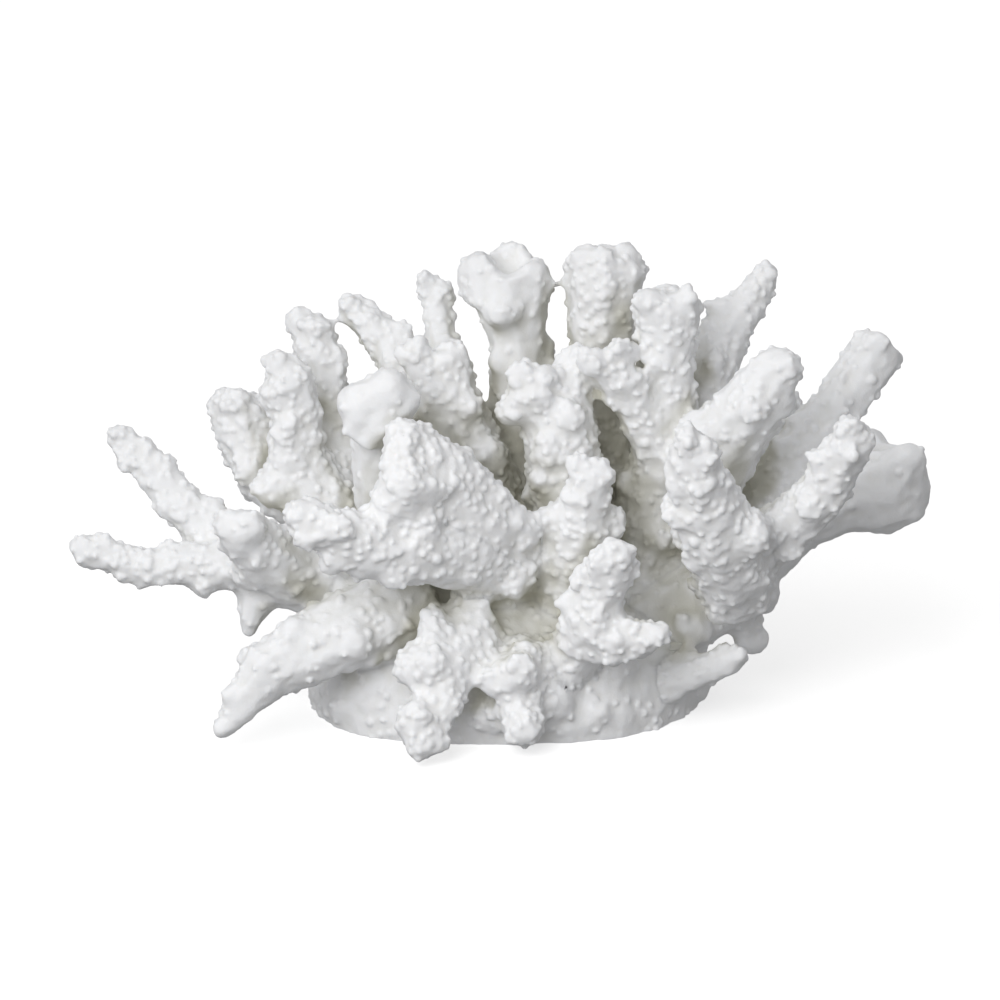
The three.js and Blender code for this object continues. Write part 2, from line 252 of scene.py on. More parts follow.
# The skin stays this far inside the frame's box.
FIT_MARGIN = 0.0001

# Passes that straighten a rim, and the fewest faces that a patch of a piece may have.
RIM_PASSES = 12
STRAY_PATCH = 400
# The first step of the search for a buried point, and how far it may go.
CAP_STEP = 0.004
CAP_REACH = 0.025

# What the camera and the lights face, and where the camera stands.
AIM = (0.0, 0.0, 0.075)
CAMERA_AWAY = 1.25
CAMERA_ELEVATION = math.radians(15.0)
CAMERA_LENS = 129.7
CAMERA_SENSOR = 36.0
FLOOR_SIZE = 6.0


# ---------- settings a user would change ----------


class CoralSizes(bpy.types.PropertyGroup):
    body_grain: bpy.props.FloatProperty(
        name="Body grain", description="Voxel size of the plain body under the beads",
        default=0.0011, min=0.0005, unit="LENGTH")
    skin_grain: bpy.props.FloatProperty(
        name="Skin grain", description="Voxel size of the finished, beaded skin",
        default=0.00056, min=0.0004, unit="LENGTH")
    joint_bridge: bpy.props.FloatProperty(
        name="Joint bridge", description="How far the frame swells to close its joints",
        default=0.00045, unit="LENGTH")
    skin_depth: bpy.props.FloatProperty(
        name="Skin depth", description="How far the plain body lies below the bead tops",
        default=0.0012, unit="LENGTH")
    lump_height: bpy.props.FloatProperty(
        name="Lump height", description="Height of the broad swellings",
        default=0.0024, unit="LENGTH")
    knuckle_radius: bpy.props.FloatProperty(
        name="Knuckle radius", description="Radius of the round knuckles under the beads",
        default=0.006, unit="LENGTH")
    knuckle_spacing: bpy.props.FloatProperty(
        name="Knuckle spacing", description="Least distance between two knuckle centres",
        default=0.0105, unit="LENGTH")
    bead_radius: bpy.props.FloatProperty(
        name="Bead radius", description="Radius of a usual bead",
        default=0.00142, unit="LENGTH")
    bead_spacing: bpy.props.FloatProperty(
        name="Bead spacing", description="Least distance between two bead centres",
        default=0.0025, unit="LENGTH")
    knob_radius: bpy.props.FloatProperty(
        name="Knob radius", description="Radius of the larger knobs among the beads",
        default=0.0022, unit="LENGTH")
    knob_spacing: bpy.props.FloatProperty(
        name="Knob spacing", description="Least distance between two knob centres",
        default=0.0065, unit="LENGTH")
    grit_size: bpy.props.FloatProperty(
        name="Grit size", description="Width of the small grains that cover the beads",
        default=0.0025, unit="LENGTH")
    grit_height: bpy.props.FloatProperty(
        name="Grit height", description="Height of the small grains",
        default=0.00016, unit="LENGTH")
    fit_depth: bpy.props.FloatProperty(
        name="Fit depth", description="Depth of the outer part squeezed to stay in the frame",
        default=0.03, unit="LENGTH")
    shelter_reach: bpy.props.FloatProperty(
        name="Shelter reach", description="How far off a branch still shelters the skin",
        default=0.045, unit="LENGTH")
    face_share: bpy.props.FloatProperty(
        name="Face share", description="Share of the fine skin's faces that is kept",
        default=0.45, min=0.1, max=1.0)
    seed: bpy.props.IntProperty(
        name="Seed", description="Chooses where the beads fall", default=7)


class CoralColours(bpy.types.PropertyGroup):
    # Painted highlight: the bead tops and tips are painted this lighter, bluer white.
    crest: bpy.props.FloatVectorProperty(
        name="Crest", description="Colour of the bead tops and tips", subtype="COLOR",
        size=4, default=(0.90, 0.905, 0.92, 1.0), min=0.0, max=1.0)
    # Painted shade: the hollows between the beads are painted this darker, warmer grey.
    hollow: bpy.props.FloatVectorProperty(
        name="Hollow", description="Colour down between the beads", subtype="COLOR",
        size=4, default=(0.84, 0.84, 0.83, 1.0), min=0.0, max=1.0)
    # Painted shade: skin that other branches shelter is painted this darker olive grey.
    painted_deep_shade: bpy.props.FloatVectorProperty(
        name="Heart", description="Colour deep among the branches", subtype="COLOR",
        size=4, default=(0.56, 0.55, 0.48, 1.0), min=0.0, max=1.0)
    floor: bpy.props.FloatVectorProperty(
        name="Floor", description="Colour of the studio floor", subtype="COLOR",
        size=4, default=(0.9, 0.9, 0.9, 1.0), min=0.0, max=1.0)


# ---------- helpers ----------


def add_object(name, mesh):
    thing = bpy.data.objects.new(name, mesh)
    bpy.context.scene.collection.objects.link(thing)
    return thing


def settle(thing):
    """Makes the modifiers' result the object's own mesh."""
    depsgraph = bpy.context.evaluated_depsgraph_get()
    done = bpy.data.meshes.new_from_object(
        thing.evaluated_get(depsgraph), preserve_all_data_layers=True, depsgraph=depsgraph)
    thing.modifiers.clear()
    old = thing.data
    thing.data = done
    bpy.data.meshes.remove(old)


def add_remesh(thing, grain):
    remesh = thing.modifiers.new("voxels", "REMESH")
    remesh.mode = "VOXEL"
    remesh.voxel_size = grain
    remesh.adaptivity = 0.0
    remesh.use_smooth_shade = True


def add_smooth(thing, factor, repeats):
    smooth = thing.modifiers.new("smooth", "SMOOTH")
    smooth.factor = factor
    smooth.iterations = repeats


def frame_solid(node):
    """A welded copy of one frame node, as a bmesh."""
    bm = bmesh.new()
    bm.from_mesh(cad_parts[node].data)
    bmesh.ops.remove_doubles(bm, verts=bm.verts, dist=WELD)
    return bm


def frame_index():
    """A search tree over every frame node, and the node behind each of its faces."""
    whole = bmesh.new()
    owners = []
    for node in sorted(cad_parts):
        bm = frame_solid(node)
        bmesh.ops.triangulate(bm, faces=bm.faces)
        mesh = bpy.data.meshes.new(node)
        bm.to_mesh(mesh)
        owners += [node] * len(bm.faces)
        bm.free()
        whole.from_mesh(mesh)
        bpy.data.meshes.remove(mesh)
    tree = BVHTree.FromBMesh(whole)
    whole.free()
    return tree, owners


class NodeSheet:
    """A geometry node group under construction."""

    def __init__(self, name):
        self.tree = bpy.data.node_groups.new(name, "GeometryNodeTree")
        self.tree.interface.new_socket(
            name="Geometry", in_out="INPUT", socket_type="NodeSocketGeometry")
        self.tree.interface.new_socket(
            name="Geometry", in_out="OUTPUT", socket_type="NodeSocketGeometry")
        self.source = self.tree.nodes.new("NodeGroupInput").outputs[0]
        self.result = self.tree.nodes.new("NodeGroupOutput").inputs[0]

    def feed(self, value, socket):
        if isinstance(value, bpy.types.NodeSocket):
            self.tree.links.new(value, socket)
        elif value is not None:
            socket.default_value = value

    def node(self, kind, settings=None, **inputs):
        made = self.tree.nodes.new(kind)
        for key, value in (settings or {}).items():
            setattr(made, key, value)
        for key, value in inputs.items():
            self.feed(value, made.inputs[key.replace("_", " ")])
        return made

    def maths(self, operation, *values, clamp=False):
        made = self.tree.nodes.new("ShaderNodeMath")
        made.operation = operation
        made.use_clamp = clamp
        for value, socket in zip(values, made.inputs):
            self.feed(value, socket)
        return made.outputs[0]

    def vector_maths(self, operation, first, second):
        made = self.tree.nodes.new("ShaderNodeVectorMath")
        made.operation = operation
        self.feed(first, made.inputs[0])
        self.feed(second, made.inputs[1])
        return made.outputs["Value" if operation == "DOT_PRODUCT" else "Vector"]

    def along(self, vector, amount):
        """The vector times a number."""
        made = self.tree.nodes.new("ShaderNodeVectorMath")
        made.operation = "SCALE"
        self.feed(vector, made.inputs[0])
        self.feed(amount, made.inputs["Scale"])
        return made.outputs[0]

    def noise(self, scale, detail=2.0):
        """Smooth noise from about -0.5 to 0.5."""
        made = self.node("ShaderNodeTexNoise", Scale=scale, Detail=detail)
        return self.maths("SUBTRACT", made.outputs[0], 0.5)

    def read(self, name, kind="FLOAT"):
        """A named attribute of the geometry."""
        return self.node(
            "GeometryNodeInputNamedAttribute", {"data_type": kind}, Name=name).outputs[0]

    def store(self, geometry, name, value):
        """The geometry with a number stored at each point under that name."""
        made = self.node(
            "GeometryNodeStoreNamedAttribute", {"data_type": "FLOAT", "domain": "POINT"},
            Geometry=geometry, Name=name, Value=value)
        return made.outputs[0]

    def join(self, *parts):
        joined = self.node("GeometryNodeJoinGeometry")
        for part in parts:
            self.tree.links.new(part, joined.inputs[0])
        return joined.outputs[0]

    def finish_on(self, thing, geometry):
        self.tree.links.new(geometry, self.result)
        modifier = thing.modifiers.new(self.tree.name, "NODES")
        modifier.node_group = self.tree


def scatter(sheet, surface, radius, spacing, share, sink, seed):
    """Beads of about that radius on the surface, where share says."""
    points = sheet.node(
        "GeometryNodeDistributePointsOnFaces", {"distribute_method": "POISSON"}, Mesh=surface,
        Distance_Min=spacing, Density_Max=POINT_DENSITY / spacing ** 2, Density_Factor=share,
        Seed=seed)
    depth = sheet.maths("MULTIPLY", radius, -sink)
    sunk = sheet.node(
        "GeometryNodeSetPosition", Geometry=points.outputs["Points"],
        Offset=sheet.along(points.outputs["Normal"], depth))
    ball = sheet.node("GeometryNodeMeshIcoSphere", Radius=1.0, Subdivisions=2)
    size = sheet.node(
        "FunctionNodeRandomValue", {"data_type": "FLOAT_VECTOR"}, Seed=seed + 1)
    size.inputs[0].default_value = (BALL_SMALLEST, BALL_SMALLEST, BALL_SMALLEST)
    size.inputs[1].default_value = (BALL_LARGEST, BALL_LARGEST, BALL_LARGEST)
    scale = sheet.along(size.outputs[0], radius)
    placed = sheet.node(
        "GeometryNodeInstanceOnPoints", Points=sunk.outputs[0], Instance=ball.outputs[0],
        Scale=scale)
    return sheet.node("GeometryNodeRealizeInstances", Geometry=placed.outputs[0]).outputs[0]


# ---------- the body under the beads ----------


def foot_places(bm):
    """Growths round the foot; its front left quarter stays smooth."""
    tree = BVHTree.FromBMesh(bm)
    places = []
    for step in range(FOOT_GROWTHS):
        bearing = math.radians(GROWTH_START + GROWTH_ARC * step / FOOT_GROWTHS)
        height = GROWTH_HEIGHTS[step % len(GROWTH_HEIGHTS)]
        radius = GROWTH_RADII[step % len(GROWTH_RADII)]
        inward = Vector((-math.cos(bearing), -math.sin(bearing), 0.0))
        start = Vector((0.0, 0.0, height)) - inward * GROWTH_SEARCH
        skin = tree.ray_cast(start, inward, GROWTH_SEARCH)[0]
        places.append((skin + inward * radius * GROWTH_SINK, radius))
    return places


def knuckle_places(node, bm):
    """Centre and radius of each knuckle on a branch, found from the branch's own shape."""
    if node == "foot":
        return foot_places(bm)
    if node not in KNUCKLES:
        return []
    ends = [vert.co.copy() for vert in bm.verts]
    root = min(ends, key=lambda co: (co - CLUMP_HEART).length)
    tip = max(ends, key=lambda co: (co - root).length)
    reach = tip - root
    tree = BVHTree.FromBMesh(bm)
    places = []
    for share, side, radius in KNUCKLES[node]:
        level = (root + reach * share).dot(reach)
        near = sorted(ends, key=lambda co: abs(co.dot(reach) - level))
        middle = sum(near[:KNUCKLE_CORNERS], Vector()) / KNUCKLE_CORNERS
        outward = SIDES[side].normalized()
        skin = tree.ray_cast(
            middle + outward * KNUCKLE_SEARCH, -outward, KNUCKLE_SEARCH)[0]
        if skin is None:
            skin = tree.find_nearest(middle)[0]
        places.append((skin - outward * radius * KNUCKLE_SINK, radius * KNUCKLE_UNIT))
    return places


def grown_frame(sizes):
    """Every frame node, swollen enough to close the joints, in one mesh."""
    whole = bmesh.new()
    for node in sorted(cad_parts):
        bm = frame_solid(node)
        bm.normal_update()
        moves = [(vert, vert.normal * sizes.joint_bridge) for vert in bm.verts]
        for vert, move in moves:
            vert.co += move
        if node == "foot":
            low = [vert for vert in bm.verts if vert.co.z < UNDERSIDE_LEVEL]
            bmesh.ops.translate(bm, verts=low, vec=(0.0, 0.0, -UNDERSIDE_PUSH))
        for place, radius in knuckle_places(node, bm):
            bmesh.ops.create_icosphere(
                bm, subdivisions=2, radius=radius, matrix=Matrix.Translation(place))
        mesh = bpy.data.meshes.new(node)
        bm.to_mesh(mesh)
        bm.free()
        whole.from_mesh(mesh)
        bpy.data.meshes.remove(mesh)
    mesh = bpy.data.meshes.new("coral_body")
    whole.to_mesh(mesh)
    whole.free()
    return mesh


def swell(thing, sizes):
    """Pulls the body below the bead tops and gives it broad, uneven swellings."""
    sheet = NodeSheet("swell")
    normal = sheet.node("GeometryNodeInputNormal").outputs[0]
    broad = sheet.maths("MULTIPLY", sheet.noise(BROAD_SCALE), sizes.lump_height * BROAD_SHARE)
    fine = sheet.maths("MULTIPLY", sheet.noise(FINE_SCALE), sizes.lump_height * FINE_SHARE)
    height = sheet.maths("ADD", broad, fine)
    height = sheet.maths("SUBTRACT", height, sizes.skin_depth)
    moved = sheet.node(
        "GeometryNodeSetPosition", Geometry=sheet.source, Offset=sheet.along(normal, height))
    sheet.finish_on(thing, moved.outputs[0])


def measure_shelter(thing, sizes):
    """Stores how much of each point's outlook other branches block, from 0 to 1; the finish
    paints shade into the colour by it.
    """
    sheet = NodeSheet("shelter")
    place = sheet.node("GeometryNodeInputPosition").outputs[0]
    normal = sheet.node("GeometryNodeInputNormal").outputs[0]
    lifted = sheet.vector_maths("ADD", place, sheet.along(normal, SHELTER_LIFT))
    blocked, looked = 0.0, 0.0
    for step in range(SHELTER_RAYS):
        height = 1.0 - 2.0 * (step + 0.5) / SHELTER_RAYS
        turn = GOLDEN_ANGLE * step
        width = math.sqrt(1.0 - height * height)
        ray = (width * math.cos(turn), width * math.sin(turn), height)
        weight = sheet.maths("MAXIMUM", sheet.vector_maths("DOT_PRODUCT", normal, ray), 0.0)
        cast = sheet.node(
            "GeometryNodeRaycast", Target_Geometry=sheet.source, Source_Position=lifted,
            Ray_Direction=ray, Ray_Length=sizes.shelter_reach)
        hit = sheet.maths("MULTIPLY", cast.outputs["Is Hit"], weight)
        blocked = sheet.maths("ADD", hit, blocked)
        looked = sheet.maths("ADD", weight, looked)
    share = sheet.maths("DIVIDE", blocked, looked)
    even = sheet.node(
        "GeometryNodeBlurAttribute", {"data_type": "FLOAT"}, Value=share, Iterations=3)
    sheet.finish_on(thing, sheet.store(sheet.source, "shelter", even.outputs[0]))


def paint_cover(thing):
    """Stores how thickly beads cover each point of the body."""
    tree, owners = frame_index()
    cover = thing.data.attributes.new("cover", "FLOAT", "POINT")
    values = []
    for vert in thing.data.vertices:
        near = tree.find_nearest(vert.co)
        values.append(BEAD_COVER.get(owners[near[2]], 1.0))
    cover.data.foreach_set("value", values)


def add_knuckles(thing, sizes):
    """Sets low round knuckles on the branches, fewer where the skin is smooth."""
    sheet = NodeSheet("knuckles")
    cover = sheet.read("cover")
    share = sheet.maths("POWER", cover, 1.5)
    balls = scatter(
        sheet, sheet.source, sizes.knuckle_radius, sizes.knuckle_spacing, share,
        KNUCKLE_BALL_SINK, sizes.seed + KNUCKLE_SEED)
    sheet.finish_on(thing, sheet.join(sheet.source, balls))


class CORAL_OT_grow_body(bpy.types.Operator):
    """Joins the frame's solids into one plain, lumpy body"""

    bl_idname = "coral.grow_body"
    bl_label = "Grow the body"

    def execute(self, context):
        sizes = context.scene.coral_sizes
        body = add_object("coral_body", grown_frame(sizes))
        add_remesh(body, sizes.body_grain)
        add_smooth(body, SMOOTH_FACTOR, BODY_SMOOTHING)
        settle(body)
        paint_cover(body)
        add_knuckles(body, sizes)
        add_remesh(body, sizes.body_grain)
        add_smooth(body, SMOOTH_FACTOR, KNUCKLE_SMOOTHING)
        settle(body)
        swell(body, sizes)
        measure_shelter(body, sizes)
        settle(body)
        paint_cover(body)
        return {"FINISHED"}


# ---------- beads ----------


def bead_skin(thing, sizes):
    """Covers the body with knobs and beads, thinner on the undersides."""
    sheet = NodeSheet("beads")
    cover = sheet.read("cover")
    blurred = sheet.node(
        "GeometryNodeBlurAttribute", {"data_type": "FLOAT"}, Value=cover, Iterations=6).outputs[0]
    normal = sheet.node("GeometryNodeInputNormal").outputs[0]
    parts = sheet.node("ShaderNodeSeparateXYZ", Vector=normal)
    lit = sheet.node("ShaderNodeMapRange", Value=parts.outputs[2])
    lit.inputs[1].default_value = UNDERSIDE_BARE
    lit.inputs[2].default_value = UNDERSIDE_FULL
    lit.inputs[3].default_value = UNDERSIDE_SHARE
    patch = sheet.maths(
        "MULTIPLY_ADD", sheet.noise(PATCH_SCALE), PATCH_STRENGTH, PATCH_LEVEL, clamp=True)
    share = sheet.maths("MULTIPLY", blurred, lit.outputs[0])
    share = sheet.maths("MULTIPLY", share, patch)
    beads = scatter(
        sheet, sheet.source, sizes.bead_radius, sizes.bead_spacing, share, BEAD_SINK,
        sizes.seed)
    knobs = scatter(
        sheet, sheet.source, sizes.knob_radius, sizes.knob_spacing, share, KNOB_SINK,
        sizes.seed + KNOB_SEED)
    sheet.finish_on(thing, sheet.join(sheet.source, beads, knobs))


def add_grit(thing, core, sizes):
    """Raises small packed grains over the skin, and takes over how sheltered the core is."""
    sheet = NodeSheet("grit")
    held = sheet.node("GeometryNodeObjectInfo", Object=core).outputs["Geometry"]
    cover = sheet.read("cover")
    near = sheet.node(
        "GeometryNodeSampleNearestSurface", {"data_type": "FLOAT"}, Mesh=held, Value=cover)
    shelter = sheet.read("shelter")
    below = sheet.node(
        "GeometryNodeSampleNearestSurface", {"data_type": "FLOAT"}, Mesh=held, Value=shelter)
    cells = sheet.node("ShaderNodeTexVoronoi", Scale=1.0 / sizes.grit_size)
    rise = sheet.maths("SUBTRACT", GRIT_EDGE, cells.outputs["Distance"])
    share = sheet.maths("MULTIPLY_ADD", near.outputs[0], GRIT_COVERED, GRIT_BARE)
    height = sheet.maths("MULTIPLY", rise, share)
    height = sheet.maths("MULTIPLY", height, sizes.grit_height * 2.0)
    normal = sheet.node("GeometryNodeInputNormal").outputs[0]
    moved = sheet.node(
        "GeometryNodeSetPosition",
        Geometry=sheet.store(sheet.source, "shelter", below.outputs[0]),
        Offset=sheet.along(normal, height))
    sheet.finish_on(thing, moved.outputs[0])


def fit_to_frame(thing, sizes):
    """Squeezes the outer part of every side but the bottom, to keep the skin in the frame."""
    places = np.empty(len(thing.data.vertices) * 3)
    thing.data.vertices.foreach_get("co", places)
    for axis in range(3):
        line = places[axis::3]
        for sign, limit in ((-1.0, FRAME_BOX[0][axis]), (1.0, FRAME_BOX[1][axis])):
            if axis == 2 and sign < 0.0:
                continue
            start = sign * limit - FIT_MARGIN - sizes.fit_depth
            past = sign * line - start
            squeeze = min(1.0, sizes.fit_depth / past.max())
            line[past > 0.0] = sign * (start + past[past > 0.0] * squeeze)
    thing.data.vertices.foreach_set("co", places)
    thing.data.update()


def cut_flat(thing, level):
    """Cuts the mesh off flat at that height and closes the cut."""
    bm = bmesh.new()
    bm.from_mesh(thing.data)
    everything = bm.verts[:] + bm.edges[:] + bm.faces[:]
    bmesh.ops.bisect_plane(
        bm, geom=everything, plane_co=(0.0, 0.0, level), plane_no=(0.0, 0.0, 1.0),
        clear_inner=True)
    rim = [edge for edge in bm.edges if edge.is_boundary]
    closed = bmesh.ops.holes_fill(bm, edges=rim, sides=0)
    for edge in rim:
        edge.smooth = False
    for face in closed["faces"]:
        face.smooth = False
    bmesh.ops.recalc_face_normals(bm, faces=bm.faces)
    bm.to_mesh(thing.data)
    bm.free()


def measure_hollows(thing):
    """Stores how far each point stands above (1) or below (0) the skin around it; the finish
    paints shade into the hollows and highlight onto the crests by it.
    """
    sheet = NodeSheet("hollows")
    place = sheet.node("GeometryNodeInputPosition").outputs[0]
    normal = sheet.node("GeometryNodeInputNormal").outputs[0]
    mean = sheet.node(
        "GeometryNodeBlurAttribute", {"data_type": "FLOAT_VECTOR"}, Iterations=10)
    vector_in = [s for s in mean.inputs if s.name == "Value" and s.enabled][0]
    vector_out = [s for s in mean.outputs if s.enabled][0]
    sheet.tree.links.new(place, vector_in)
    rise = sheet.vector_maths("SUBTRACT", place, vector_out)
    height = sheet.vector_maths("DOT_PRODUCT", rise, normal)
    level = sheet.node("ShaderNodeMapRange", Value=height)
    level.inputs[1].default_value = -CREST_HEIGHT
    level.inputs[2].default_value = CREST_HEIGHT
    sheet.finish_on(thing, sheet.store(sheet.source, "crest", level.outputs[0]))


class CORAL_OT_bead_skin(bpy.types.Operator):
    """Covers the body with beads and knobs and fuses them into one skin"""

    bl_idname = "coral.bead_skin"
    bl_label = "Bead the skin"

    def execute(self, context):
        sizes = context.scene.coral_sizes
        body = bpy.data.objects["coral_body"]
        core = add_object("coral_core", body.data.copy())
        bead_skin(body, sizes)
        add_remesh(body, sizes.skin_grain)
        add_smooth(body, SMOOTH_FACTOR, SKIN_SMOOTHING)
        add_grit(body, core, sizes)
        thin = body.modifiers.new("thin", "DECIMATE")
        thin.ratio = sizes.face_share
        settle(body)
        bpy.data.objects.remove(core)
        fit_to_frame(body, sizes)
        cut_flat(body, FRAME_BOX[0][2])
        measure_hollows(body)
        settle(body)
        return {"FINISHED"}


# ---------- finish ----------


def coral_finish(colours):
    finish = bpy.data.materials.new("white_coral")
    finish.use_nodes = True
    tree = finish.node_tree
    nodes, links = tree.nodes, tree.links
    shader = nodes["Principled BSDF"]
    shader.inputs["Roughness"].default_value = 0.9
    shader.inputs["Specular IOR Level"].default_value = 0.12
    shader.inputs["Subsurface Weight"].default_value = 0.35
    shader.inputs["Subsurface Radius"].default_value = (1.0, 0.95, 0.9)
    shader.inputs["Subsurface Scale"].default_value = 0.0022
    place = nodes.new("ShaderNodeTexCoord").outputs["Object"]
    # Painted light and shade: the colour runs from the darker hollow grey between the beads to
    # the lighter, bluer crest white on their tops, with random tone from the blotch noise.
    crest = nodes.new("ShaderNodeAttribute")
    crest.attribute_name = "crest"
    blotch = nodes.new("ShaderNodeTexNoise")
    blotch.inputs["Scale"].default_value = 90.0
    blotch.inputs["Detail"].default_value = 3.0
    links.new(place, blotch.inputs["Vector"])
    lift = nodes.new("ShaderNodeMath")
    lift.operation = "MULTIPLY_ADD"
    links.new(blotch.outputs["Fac"], lift.inputs[0])
    lift.inputs[1].default_value = 0.5
    lift.inputs[2].default_value = -0.25
    level = nodes.new("ShaderNodeMath")
    level.operation = "ADD"
    level.use_clamp = True
    links.new(crest.outputs["Fac"], level.inputs[0])
    links.new(lift.outputs[0], level.inputs[1])
    shade = nodes.new("ShaderNodeValToRGB")
    shade.color_ramp.elements[0].color = colours.hollow
    shade.color_ramp.elements[0].position = 0.05
    shade.color_ramp.elements[1].color = colours.crest
    shade.color_ramp.elements[1].position = 0.6
    links.new(level.outputs[0], shade.inputs[0])
    # Painted shade: the more other branches shelter the skin, the more its colour darkens towards
    # the deep shade colour.
    shelter = nodes.new("ShaderNodeAttribute")
    shelter.attribute_name = "shelter"
    deep = nodes.new("ShaderNodeMapRange")
    deep.interpolation_type = "SMOOTHSTEP"
    deep.inputs["From Min"].default_value = 0.3
    deep.inputs["From Max"].default_value = 0.92
    links.new(shelter.outputs["Fac"], deep.inputs["Value"])
    painted_shade_mix = nodes.new("ShaderNodeMix")
    painted_shade_mix.data_type = "RGBA"
    colour_in = [socket for socket in painted_shade_mix.inputs if socket.type == "RGBA"]
    colour_out = [socket for socket in painted_shade_mix.outputs if socket.type == "RGBA"]
    colour_in[1].default_value = colours.painted_deep_shade
    links.new(shade.outputs["Color"], colour_in[0])
    links.new(deep.outputs["Result"], painted_shade_mix.inputs[0])
    links.new(colour_out[0], shader.inputs["Base Color"])
    grain = nodes.new("ShaderNodeTexNoise")
    grain.inputs["Scale"].default_value = 1500.0
    grain.inputs["Detail"].default_value = 3.0
    links.new(place, grain.inputs["Vector"])
    bump = nodes.new("ShaderNodeBump")
    bump.inputs["Strength"].default_value = 0.35
    bump.inputs["Distance"].default_value = 0.0003
    links.new(grain.outputs["Fac"], bump.inputs["Height"])
    links.new(bump.outputs["Normal"], shader.inputs["Normal"])
    return finish


# ---------- splitting at the forks ----------


def even_rims(bm, label):
    """Straightens ragged rims: a face joins the piece that most of its neighbours are in."""
    label = np.array(label)
    pairs = np.array([
        (edge.link_faces[0].index, edge.link_faces[1].index)
        for edge in bm.edges if len(edge.link_faces) == 2])
    for _ in range(RIM_PASSES):
        split = pairs[label[pairs[:, 0]] != label[pairs[:, 1]]]
        odd = np.concatenate([split[:, 0], split[:, 1]])
        wanted = np.concatenate([label[split[:, 1]], label[split[:, 0]]])
        votes = np.bincount(odd, minlength=len(label))
        chosen = np.zeros(len(label), dtype=int)
        chosen[odd] = wanted
        change = votes >= 2
        label[change] = chosen[change]
    return label.tolist()


def label_faces(mesh, names):
    """The piece each face belongs to, by its number in names, with stray patches absorbed."""
    tree, owners = frame_index()
    piece_of = {node: names.index(piece) for piece in names for node in PIECES[piece]}
    owner = [piece_of[node] for node in owners]
    bm = bmesh.new()
    bm.from_mesh(mesh)
    label = [owner[tree.find_nearest(face.calc_center_median())[2]] for face in bm.faces]
    label = even_rims(bm, label)
    bm.faces.ensure_lookup_table()
    seen = [False] * len(label)
    for start in range(len(label)):
        if seen[start]:
            continue
        patch, edge_labels, queue = [], {}, [start]
        seen[start] = True
        while queue:
            face = bm.faces[queue.pop()]
            patch.append(face.index)
            for edge in face.edges:
                for other in edge.link_faces:
                    if label[other.index] != label[start]:
                        key = label[other.index]
                        edge_labels[key] = edge_labels.get(key, 0) + 1
                    elif not seen[other.index]:
                        seen[other.index] = True
                        queue.append(other.index)
        if len(patch) < STRAY_PATCH and edge_labels:
            new = max(edge_labels, key=edge_labels.get)
            for index in patch:
                label[index] = new
    bm.free()
    return label


def take_piece(whole, name, number):
    """One labelled piece of the whole as its own object."""
    piece = add_object(name, whole.data.copy())
    sheet = NodeSheet("take_" + name)
    label = sheet.read("piece", "INT")
    same = sheet.node("FunctionNodeCompare", {"data_type": "INT", "operation": "EQUAL"})
    first, second = [socket for socket in same.inputs if socket.enabled][:2]
    sheet.tree.links.new(label, first)
    second.default_value = number
    kept = sheet.node(
        "GeometryNodeSeparateGeometry", {"domain": "FACE"}, Geometry=sheet.source,
        Selection=same.outputs[0])
    sheet.finish_on(piece, kept.outputs[0])
    settle(piece)
    return piece


def depth_inside(skin, place):
    """How far the place lies below the whole skin; negative outside it."""
    near, normal, _, away = skin.find_nearest(place)
    return away if (place - near).dot(normal) < 0.0 else -away


def deep_point(skin, start):
    """The best buried point near start, found by stepping away from the skin."""
    best, depth, step = start.copy(), depth_inside(skin, start), CAP_STEP
    while step > CAP_STEP / 16.0:
        moved = False
        for axis in range(3):
            for sign in (-step, step):
                trial = best.copy()
                trial[axis] += sign
                found = depth_inside(skin, trial)
                if found > depth and (trial - start).length < CAP_REACH:
                    best, depth, moved = trial, found, True
        if not moved:
            step *= 0.5
    return best


def close_piece(piece, skin):
    """Caps what it can of the openings that the split left; gives how many edges stay open."""
    bm = bmesh.new()
    bm.from_mesh(piece.data)
    rim = [edge for edge in bm.edges if edge.is_boundary]
    filled = bmesh.ops.holes_fill(bm, edges=rim, sides=0)
    for edge in rim:
        edge.smooth = False
    for middle in bmesh.ops.poke(bm, faces=filled["faces"], center_mode="MEAN")["verts"]:
        middle.co = deep_point(skin, middle.co)
    bmesh.ops.recalc_face_normals(bm, faces=bm.faces)
    open_edges = sum(1 for edge in bm.edges if not edge.is_manifold)
    bm.to_mesh(piece.data)
    bm.free()
    return open_edges


class CORAL_OT_split_pieces(bpy.types.Operator):
    """Splits the coral into pieces at its main forks"""

    bl_idname = "coral.split_pieces"
    bl_label = "Split at the forks"

    def execute(self, context):
        whole = bpy.data.objects["coral_body"]
        finish = coral_finish(context.scene.coral_colours)
        whole.data.materials.clear()
        whole.data.materials.append(finish)
        names = list(PIECES)
        labels = label_faces(whole.data, names)
        attribute = whole.data.attributes.new("piece", "INT", "FACE")
        attribute.data.foreach_set("value", labels)
        bm = bmesh.new()
        bm.from_mesh(whole.data)
        skin = BVHTree.FromBMesh(bm)
        bm.free()
        for number, name in enumerate(names):
            piece = take_piece(whole, name, number)
            loose = close_piece(piece, skin)
            print("piece", name, len(piece.data.polygons), "open edges", loose)
            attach(piece, "root")
            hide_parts(*PIECES[name])
        bpy.data.objects.remove(whole)
        return {"FINISHED"}


# ---------- stage ----------


def facing(place, aim):
    """The turn that points something at that place towards the aim."""
    return (Vector(aim) - Vector(place)).to_track_quat("-Z", "Y").to_euler()


def add_sun(name, strength, softness, place, aim):
    light = bpy.data.lights.new(name, "SUN")
    light.energy = strength
    light.angle = softness
    lamp = add_object(name, light)
    lamp.rotation_euler = facing(place, aim)


def add_panel(name, power, width, place, aim):
    """A soft square light panel facing the coral."""
    light = bpy.data.lights.new(name, "AREA")
    light.energy = power
    light.size = width
    lamp = add_object(name, light)
    lamp.location = place
    lamp.rotation_euler = facing(place, aim)
    lamp.visible_camera = False


